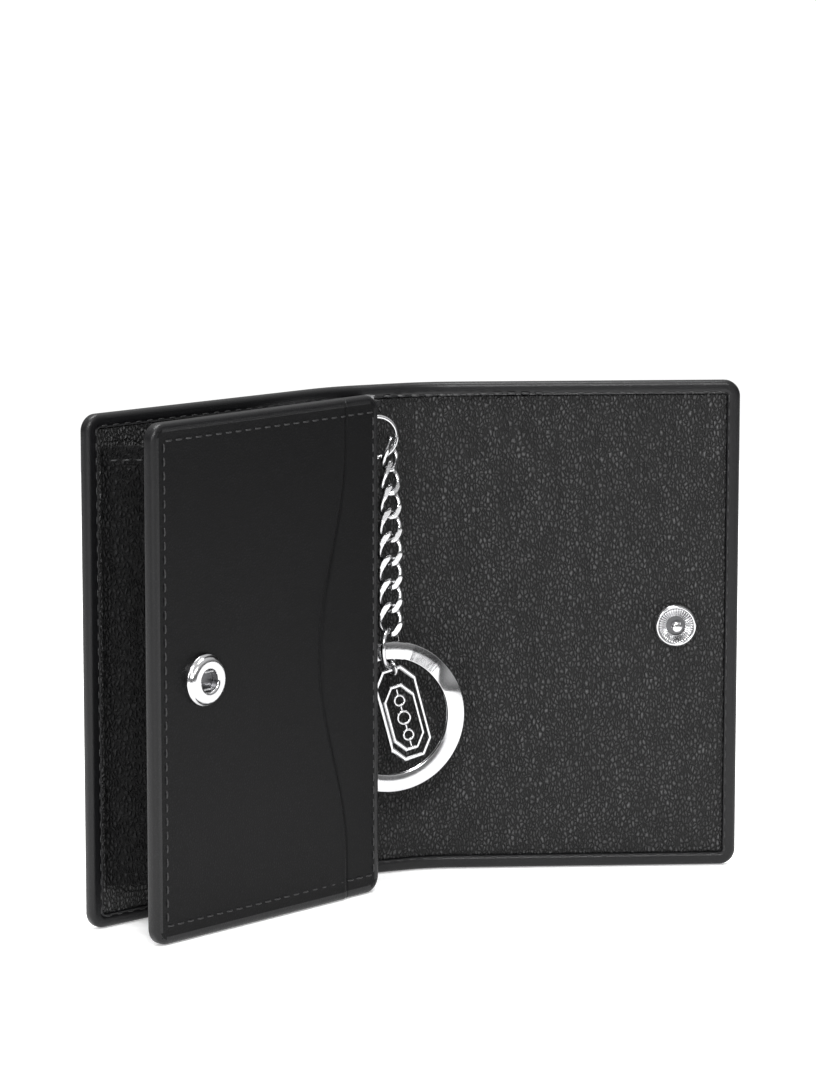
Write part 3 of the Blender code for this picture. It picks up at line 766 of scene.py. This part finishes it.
def sweep(name, centres, sides, section, frame_matrix, material, body, replaced=(), closed=True,
          flat=None, sharp=40.0):
    """Carries a section, (side, third) pairs, along a route; flat files its front and back."""
    verts, faces = [], []
    count, around = len(centres), len(section)
    for i in range(count):
        after = centres[(i + 1) % count] if closed else centres[min(i + 1, count - 1)]
        before = centres[i - 1] if closed else centres[max(i - 1, 0)]
        along = (after - before).normalized()
        side = (sides[i] - along * sides[i].dot(along)).normalized()
        third = along.cross(side)
        for a, b in section:
            point = centres[i] + side * a + third * b
            if flat:
                point.y = max(-flat, min(flat, point.y))
            verts.append(frame_matrix @ point)
    for i in range(count if closed else count - 1):
        for j in range(around):
            a, b = i * around + j, i * around + (j + 1) % around
            c, d = (i + 1) % count * around + (j + 1) % around, (i + 1) % count * around + j
            faces.append((a, b, c, d))
    if not closed:
        faces.append(tuple(range(around))[::-1])
        faces.append(tuple((count - 1) * around + j for j in range(around)))
    finish_piece(name, verts, faces, material, body, replaced, sharp)


def round_section(radius, sides=16):
    angles = [2.0 * math.pi * k / sides for k in range(sides)]
    return [(radius * math.cos(angle), radius * math.sin(angle)) for angle in angles]


def wire_ring(name, radius, wire, frame_matrix, material, body, replaced=(), steps=72, gap=0.0):
    """A round ring of wire in the frame's XZ plane, with an optional cut of the given angle."""
    count = steps + 1 if gap else steps
    centres = []
    for i in range(count):
        angle = 0.5 * gap + (2.0 * math.pi - gap) * i / steps + math.radians(35.0)
        centres.append(Vector((radius * math.cos(angle), 0.0, radius * math.sin(angle))))
    sweep(name, centres, [c.copy() for c in centres], round_section(wire), frame_matrix, material,
          body, replaced, closed=not gap)


# ---------------------------------------------------------------- snap fastener

def build_snap():
    low, high = (Vector(corner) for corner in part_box("snap_socket"))
    centre = 0.5 * (low + high)
    along = 48.6 * MM
    face = PANEL_FRONT - POCKET_STEP - 0.06 * MM
    socket = PANEL_FRAME @ Matrix.Translation((-along, face, centre.z))
    crown = -1.85 * MM
    bore, outer = 2.15 * MM, 5.0 * MM
    profile = [(bore, 0.3 * MM), (bore, 0.72 * crown)]
    profile += arc_points((bore + 0.55 * MM, 0.70 * crown), 0.55 * MM, 180.0, 270.0, 6)
    profile += arc_points((3.55 * MM, 0.44 * crown), 1.03 * MM, -90.0, -20.0, 8)
    profile += arc_points((4.45 * MM, -0.42 * MM), 0.52 * MM, -60.0, 20.0, 6)
    profile += [(outer, -0.05 * MM), (outer - 0.1 * MM, 0.3 * MM)]
    washer("snap_socket_cap", profile, socket, CHROME, "back", ("snap_socket",))
    # The socket's floor is dark: painted shade in its hollow.
    floor = [(0.0, -0.02 * MM), (1.2 * MM, -0.02 * MM), (bore - 0.05 * MM, -0.1 * MM),
             (bore - 0.05 * MM, 0.3 * MM)]
    turned_piece("snap_socket_floor", floor, socket, RECESS_SHADE_METAL, "back")
    wire_rise, wire_radius, wire_slack = 1.65 * MM, 0.18 * MM, 0.1 * MM
    for index, rise in enumerate((wire_rise, -wire_rise)):
        reach = math.sqrt(bore * bore - rise * rise) - wire_slack
        centres = [Vector((x, 0.62 * crown, rise)) for x in spaced(-reach, reach, 0.3 * MM)]
        sides = [Vector((0.0, 1.0, 0.0))] * len(centres)
        sweep(f"snap_socket_wire_{index + 1}", centres, sides, round_section(wire_radius, 12), socket,
              SATIN, "back", ("snap_spring",) if index == 0 else (), closed=False)

    turn = 2.0 * SPINE_TURN
    stud_along, stand_off = 50.0 * MM, 0.02 * MM
    stud = (Matrix.Translation(FOLD_FLAP) @ Matrix.Rotation(-turn, 4, "Z")
            @ Matrix.Translation((stud_along, -HALF - stand_off, centre.z)))
    rim = [(1.95 * MM, 0.1 * MM), (1.95 * MM, -0.30 * MM), (2.1 * MM, -0.46 * MM),
           (2.5 * MM, -0.52 * MM), (2.9 * MM, -0.60 * MM), (3.25 * MM, -0.70 * MM)]
    rim += arc_points((3.72 * MM, -0.62 * MM), 0.33 * MM, 200.0, 340.0, 8)
    rim += arc_points((3.85 * MM, -0.38 * MM), 0.4 * MM, -30.0, 0.0, 3)
    rim += [(4.25 * MM, -0.05 * MM), (4.15 * MM, 0.15 * MM)]
    washer("snap_stud_ribbed_rim", rim, stud, CHROME, "flap", ("snap_stud_rim",), 240,
           (40, 0.17 * MM, 2.0 * MM, 3.3 * MM, -0.35 * MM))
    # The well round the pin is dark: painted shade in the stud's hollow.
    well = [(0.0, 0.12 * MM), (1.98 * MM, 0.12 * MM), (1.98 * MM, 0.16 * MM), (0.0, 0.16 * MM)]
    turned_piece("snap_stud_well", well, stud, RECESS_SHADE_METAL, "flap")
    post = [(0.0, -2.45 * MM)] + arc_points((0.5 * MM, -1.85 * MM), 0.6 * MM, -80.0, 20.0, 8)
    post += [(0.98 * MM, -1.3 * MM), (0.92 * MM, -0.7 * MM), (1.0 * MM, -0.1 * MM),
             (1.0 * MM, 0.1 * MM), (0.0, 0.1 * MM)]
    turned_piece("snap_stud_pin", post, stud, CHROME, "flap", ("snap_stud_post",))


# ---------------------------------------------------------------- key chain

CHAIN_YAW = math.atan2(-CHAIN_NORMAL.x, CHAIN_NORMAL.y)
BODIES = frame["record"]["behaviour"]["bodies"]
LINK_COUNT = 8
LINK_HALF, LINK_WIDE, LINK_WIRE, LINK_FLAT = 3.1 * MM, 2.0 * MM, 0.55 * MM, 0.84 * MM
LINK_TWIST = math.radians(45.0)
STRAIGHT_FROM = 4


def hung(point, height=None):
    """The upright frame of the key chain at a plan point."""
    place = Vector((point.x, point.y, point.z if height is None else height))
    return Matrix.Translation(place) @ Matrix.Rotation(CHAIN_YAW, 4, "Z")


def body_of(node):
    """The body that a CAD node belongs to."""
    return next(body for body, nodes in BODIES.items() if node in nodes)


def box_middle(node):
    low, high = (Vector(corner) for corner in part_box(node))
    return 0.5 * (low + high)


def build_chain():
    """Filed curb links: the top one is turned by LINK_TWIST, and the turn fades out by the fifth."""
    steps = 56
    for i in range(LINK_COUNT):
        centres, sides = [], []
        for k in range(steps):
            angle = 2.0 * math.pi * k / steps
            twist = LINK_TWIST * math.cos(angle)
            across = Vector((math.cos(twist), math.sin(twist), 0.0))
            rise = Vector((0.0, 0.0, LINK_HALF * math.cos(angle)))
            centres.append(across * LINK_WIDE * math.sin(angle) + rise)
            sides.append(across * math.sin(angle) + Vector((0.0, 0.0, math.cos(angle))))
        node = f"chain_link_{i + 1}"
        yaw = LINK_TWIST * max(0.0, 1.0 - i / STRAIGHT_FROM)
        place = hung(HANG, box_middle(node).z) @ Matrix.Rotation(yaw, 4, "Z")
        sweep(f"curb_link_{i + 1}", centres, sides, round_section(LINK_WIRE, 18), place, CHROME,
              body_of(node), (node,), flat=LINK_FLAT, sharp=24.0)

    wire_ring("strap_ring_wire", 4.0 * MM, 0.41 * MM, hung(box_middle("strap_ring")), CHROME,
              "strap_ring", ("strap_ring",))
    jump = hung(box_middle("jump_ring")) @ Matrix.Rotation(math.radians(52.0), 4, "Z")
    wire_ring("jump_ring_wire", 3.75 * MM, 0.5 * MM, jump, CHROME, "jump_ring", ("jump_ring",),
              gap=math.radians(1.5))


def build_key_ring():
    """Almost two turns of flat strip with eased edges, stepping across once on the +X side."""
    inner, outer, coil, split = 11.6 * MM, 15.0 * MM, 0.86 * MM, 0.10 * MM
    start, step_from, step_span = math.radians(78.0), math.radians(60.0), math.radians(24.0)
    turns = 4.0 * math.pi - math.radians(8.0)
    offset = 0.5 * (coil + split)
    middle, half, ease = 0.5 * (inner + outer), 0.5 * (outer - inner), 0.16 * MM
    section = []
    cut = 0.35 * ease
    for a, b in ((1, 1), (-1, 1), (-1, -1), (1, -1)):
        corner = [(a * half, b * (0.5 * coil - ease)), (a * (half - cut), b * (0.5 * coil - cut)),
                  (a * (half - ease), b * 0.5 * coil)]
        section += corner if a * b > 0 else corner[::-1]
    centres, sides = [], []
    steps = 260
    for i in range(steps + 1):
        run = turns * i / steps
        share = max(0.0, min(1.0, (run - (2.0 * math.pi - step_from)) / step_span))
        level = offset * (2.0 * share * share * (3.0 - 2.0 * share) - 1.0)
        angle = start + run
        out = Vector((math.cos(angle), 0.0, math.sin(angle)))
        centres.append(out * middle + Vector((0.0, level, 0.0)))
        sides.append(out)
    sweep("split_key_ring", centres, sides, section, hung(RING_CENTRE), CHROME, "key_ring",
          ("key_ring",), closed=False, sharp=30.0)


def octagon(half_width, half_length, chamfer):
    points = []
    for x, z in ((1, -1), (1, 1), (-1, 1), (-1, -1)):
        side = (x * half_width, z * (half_length - 1.3 * chamfer))
        end = (x * (half_width - chamfer), z * half_length)
        points += [side, end] if x * z > 0 else [end, side]
    return points


def bevelled_frame(name, half_width, half_length, chamfer, wall, half_thick, place, replaced=()):
    """A long octagon frame with bevelled faces."""
    ease = 0.28 * wall
    rings = []
    for inset, y in ((0.0, -half_thick + ease), (ease, -half_thick), (wall - ease, -half_thick),
                     (wall, -half_thick + ease), (wall, half_thick - ease), (wall - ease, half_thick),
                     (ease, half_thick), (0.0, half_thick - ease)):
        outline = octagon(half_width - inset, half_length - inset, chamfer - 0.4 * inset)
        rings.append([place @ Vector((x, y, z)) for x, z in outline])
    verts = [v for ring in rings for v in ring]
    faces = []
    for i in range(len(rings)):
        for j in range(8):
            k = (j + 1) % 8
            after = (i + 1) % len(rings)
            faces.append((i * 8 + j, i * 8 + k, after * 8 + k, after * 8 + j))
    return finish_piece(name, verts, faces, CHROME, "charm", replaced, 20.0)


def build_charm():
    """A plain nested octagon on a bail, with three small loops joined by bars."""
    lean, bail_turn = math.radians(15.0), math.radians(116.0)
    bail_radius, bail_wire = 1.45 * MM, 0.35 * MM
    ring_wire, slack = 0.5 * MM, 0.13 * MM
    knot = hung(KNOT) @ Matrix.Rotation(-lean, 4, "Y")
    drop = bail_radius - bail_wire - ring_wire - slack
    bail = knot @ Matrix.Translation((0.0, 0.0, -drop)) @ Matrix.Rotation(bail_turn, 4, "Z")
    wire_ring("charm_bail_wire", bail_radius, bail_wire, bail, CHROME, "charm", ("charm_bail",), 40)
    half_length, half_width, wall, thick = 9.5 * MM, 4.4 * MM, 0.8 * MM, 0.45 * MM
    top = -drop - bail_radius + bail_wire + 0.3 * MM + wall
    middle = knot @ Matrix.Translation((0.0, 0.0, top - half_length))
    bevelled_frame("charm_outer_frame", half_width, half_length, 2.3 * MM, wall, thick, middle,
                   ("charm_frame",))
    inner = middle @ Matrix.Translation((0.0, 0.0, -0.9 * MM))
    bevelled_frame("charm_nested_frame", half_width - 1.1 * MM, half_length - 2.7 * MM, 2.0 * MM,
                   0.7 * MM, 0.32 * MM, inner, ("charm_inner_frame",))
    quarter = Matrix.Rotation(math.radians(45.0), 4, "Y")
    for index, (z, size) in enumerate(((3.6, 1.0), (0.0, 1.25), (-3.6, 1.0))):
        bead = inner @ Matrix.Translation((0.0, 0.0, z * MM)) @ quarter
        wire_ring(f"charm_loop_{index + 1}", size * MM, 0.26 * MM, bead, CHROME, "charm", (), 32)
    bars = ((5.9, 4.85), (2.35, 1.5), (-1.5, -2.35), (-4.85, -5.9))
    for index, (z_from, z_to) in enumerate(bars):
        centres = [Vector((0.0, 0.0, z * MM)) for z in (z_from, 0.5 * (z_from + z_to), z_to)]
        sweep(f"charm_bar_{index + 1}", centres, [Vector((1.0, 0.0, 0.0))] * 3,
              round_section(0.24 * MM, 12), inner, CHROME, "charm", closed=False)


def finish_strap_and_swivel():
    """The leather strap and the swivel keep their solid shapes and get their finishes."""
    finishes = {"chain_strap": EDGE, "swivel_fork": SATIN, "swivel_pin": SATIN,
                "swivel_rivet": SATIN}
    for node, finish in finishes.items():
        item = frame["nodes"][node]
        item.data.materials.clear()
        item.data.materials.append(finish)


# ---------------------------------------------------------------- stage

CAMERA_WHITE = 1.05
DOME_LOW, DOME_HIGH = 0.12, 0.85
FLOOR_REACH = 0.5
FLOOR_DROP = 0.0002
FLOOR_GLOW = 0.35


def area_light(name, place, target, width, power, tall=1.0):
    """A soft light aimed at a target; tall is its height as a multiple of its width."""
    data = bpy.data.lights.new(name, "AREA")
    data.shape = "RECTANGLE"
    data.size, data.size_y = width, width * tall
    data.energy = power
    light = bpy.data.objects.new(name, data)
    bpy.context.collection.objects.link(light)
    light.location = place
    light.rotation_euler = (Vector(target) - Vector(place)).to_track_quat("-Z", "Y").to_euler()


def build_world():
    """White to the camera, and a dome that brightens upwards as a light."""
    world = bpy.data.worlds.new("studio")
    bpy.context.scene.world = world
    world.use_nodes = True
    tree = world.node_tree
    white = tree.nodes["Background"]
    white.inputs["Color"].default_value = (1.0, 1.0, 1.0, 1.0)
    white.inputs["Strength"].default_value = CAMERA_WHITE
    dome = tree.nodes.new("ShaderNodeBackground")
    dome.inputs["Color"].default_value = (1.0, 1.0, 1.0, 1.0)
    direction = tree.nodes.new("ShaderNodeTexCoord")
    parts = tree.nodes.new("ShaderNodeSeparateXYZ")
    height = tree.nodes.new("ShaderNodeMapRange")
    height.interpolation_type = "SMOOTHSTEP"
    for socket, value in (("From Min", -0.05), ("From Max", 0.75),
                          ("To Min", DOME_LOW), ("To Max", DOME_HIGH)):
        height.inputs[socket].default_value = value
    tree.links.new(direction.outputs["Generated"], parts.inputs[0])
    tree.links.new(parts.outputs["Z"], height.inputs["Value"])
    tree.links.new(height.outputs["Result"], dome.inputs["Strength"])
    path = tree.nodes.new("ShaderNodeLightPath")
    blend = tree.nodes.new("ShaderNodeMixShader")
    tree.links.new(path.outputs["Is Camera Ray"], blend.inputs[0])
    tree.links.new(dome.outputs[0], blend.inputs[1])
    tree.links.new(white.outputs[0], blend.inputs[2])
    tree.links.new(blend.outputs[0], tree.nodes["World Output"].inputs["Surface"])


def build_stage():
    mesh = bpy.data.meshes.new("floor")
    corners = [(x * FLOOR_REACH, y * FLOOR_REACH, -FLOOR_DROP)
               for x, y in ((-1, -1), (1, -1), (1, 1), (-1, 1))]
    mesh.from_pydata(corners, [], [(0, 1, 2, 3)])
    n = Nodes("pale_floor")
    n.fix(Base_Color=(0.95, 0.95, 0.95, 1.0), Roughness=0.6, Specular_IOR_Level=0.1,
          Emission_Color=(1.0, 1.0, 1.0, 1.0), Emission_Strength=FLOOR_GLOW)
    mesh.materials.append(n.material)
    floor = bpy.data.objects.new("floor", mesh)
    bpy.context.collection.objects.link(floor)

    area_light("key", (-0.45, -0.62, 0.62), (0.04, 0.0, 0.06), 0.22, 6.0)
    area_light("side", (-0.75, -0.35, 0.35), (0.04, 0.0, 0.05), 0.12, 1.6, tall=2.0)
    area_light("top", (0.0, 0.10, 0.8), (0.0, 0.0, 0.05), 0.4, 6.0)

    scene = bpy.context.scene
    scene.view_settings.view_transform = "Standard"
    scene.view_settings.look = "None"


def build_camera():
    azimuth, pitch = math.radians(43.507), math.radians(9.069)
    distance, sideways, aim_height = 0.8601, 15.045 * MM, 66.841 * MM
    forward = Vector((math.sin(azimuth) * math.cos(pitch), math.cos(azimuth) * math.cos(pitch),
                      -math.sin(pitch)))
    right = Vector((math.cos(azimuth), -math.sin(azimuth), 0.0))
    target = FOLD_BACK + sideways * right
    target.z = aim_height
    data = bpy.data.cameras.new("camera")
    data.sensor_fit = "VERTICAL"
    data.sensor_height = 36.0
    data.lens = 144.86942
    camera = bpy.data.objects.new("camera", data)
    bpy.context.collection.objects.link(camera)
    camera.location = target - forward * distance
    camera.rotation_euler = forward.to_track_quat("-Z", "Y").to_euler()
    bpy.context.scene.camera = camera


build_front_panel()
build_gussets()
build_snap()
build_chain()
build_key_ring()
build_charm()
finish_strap_and_swivel()
build_world()
build_stage()
build_camera()
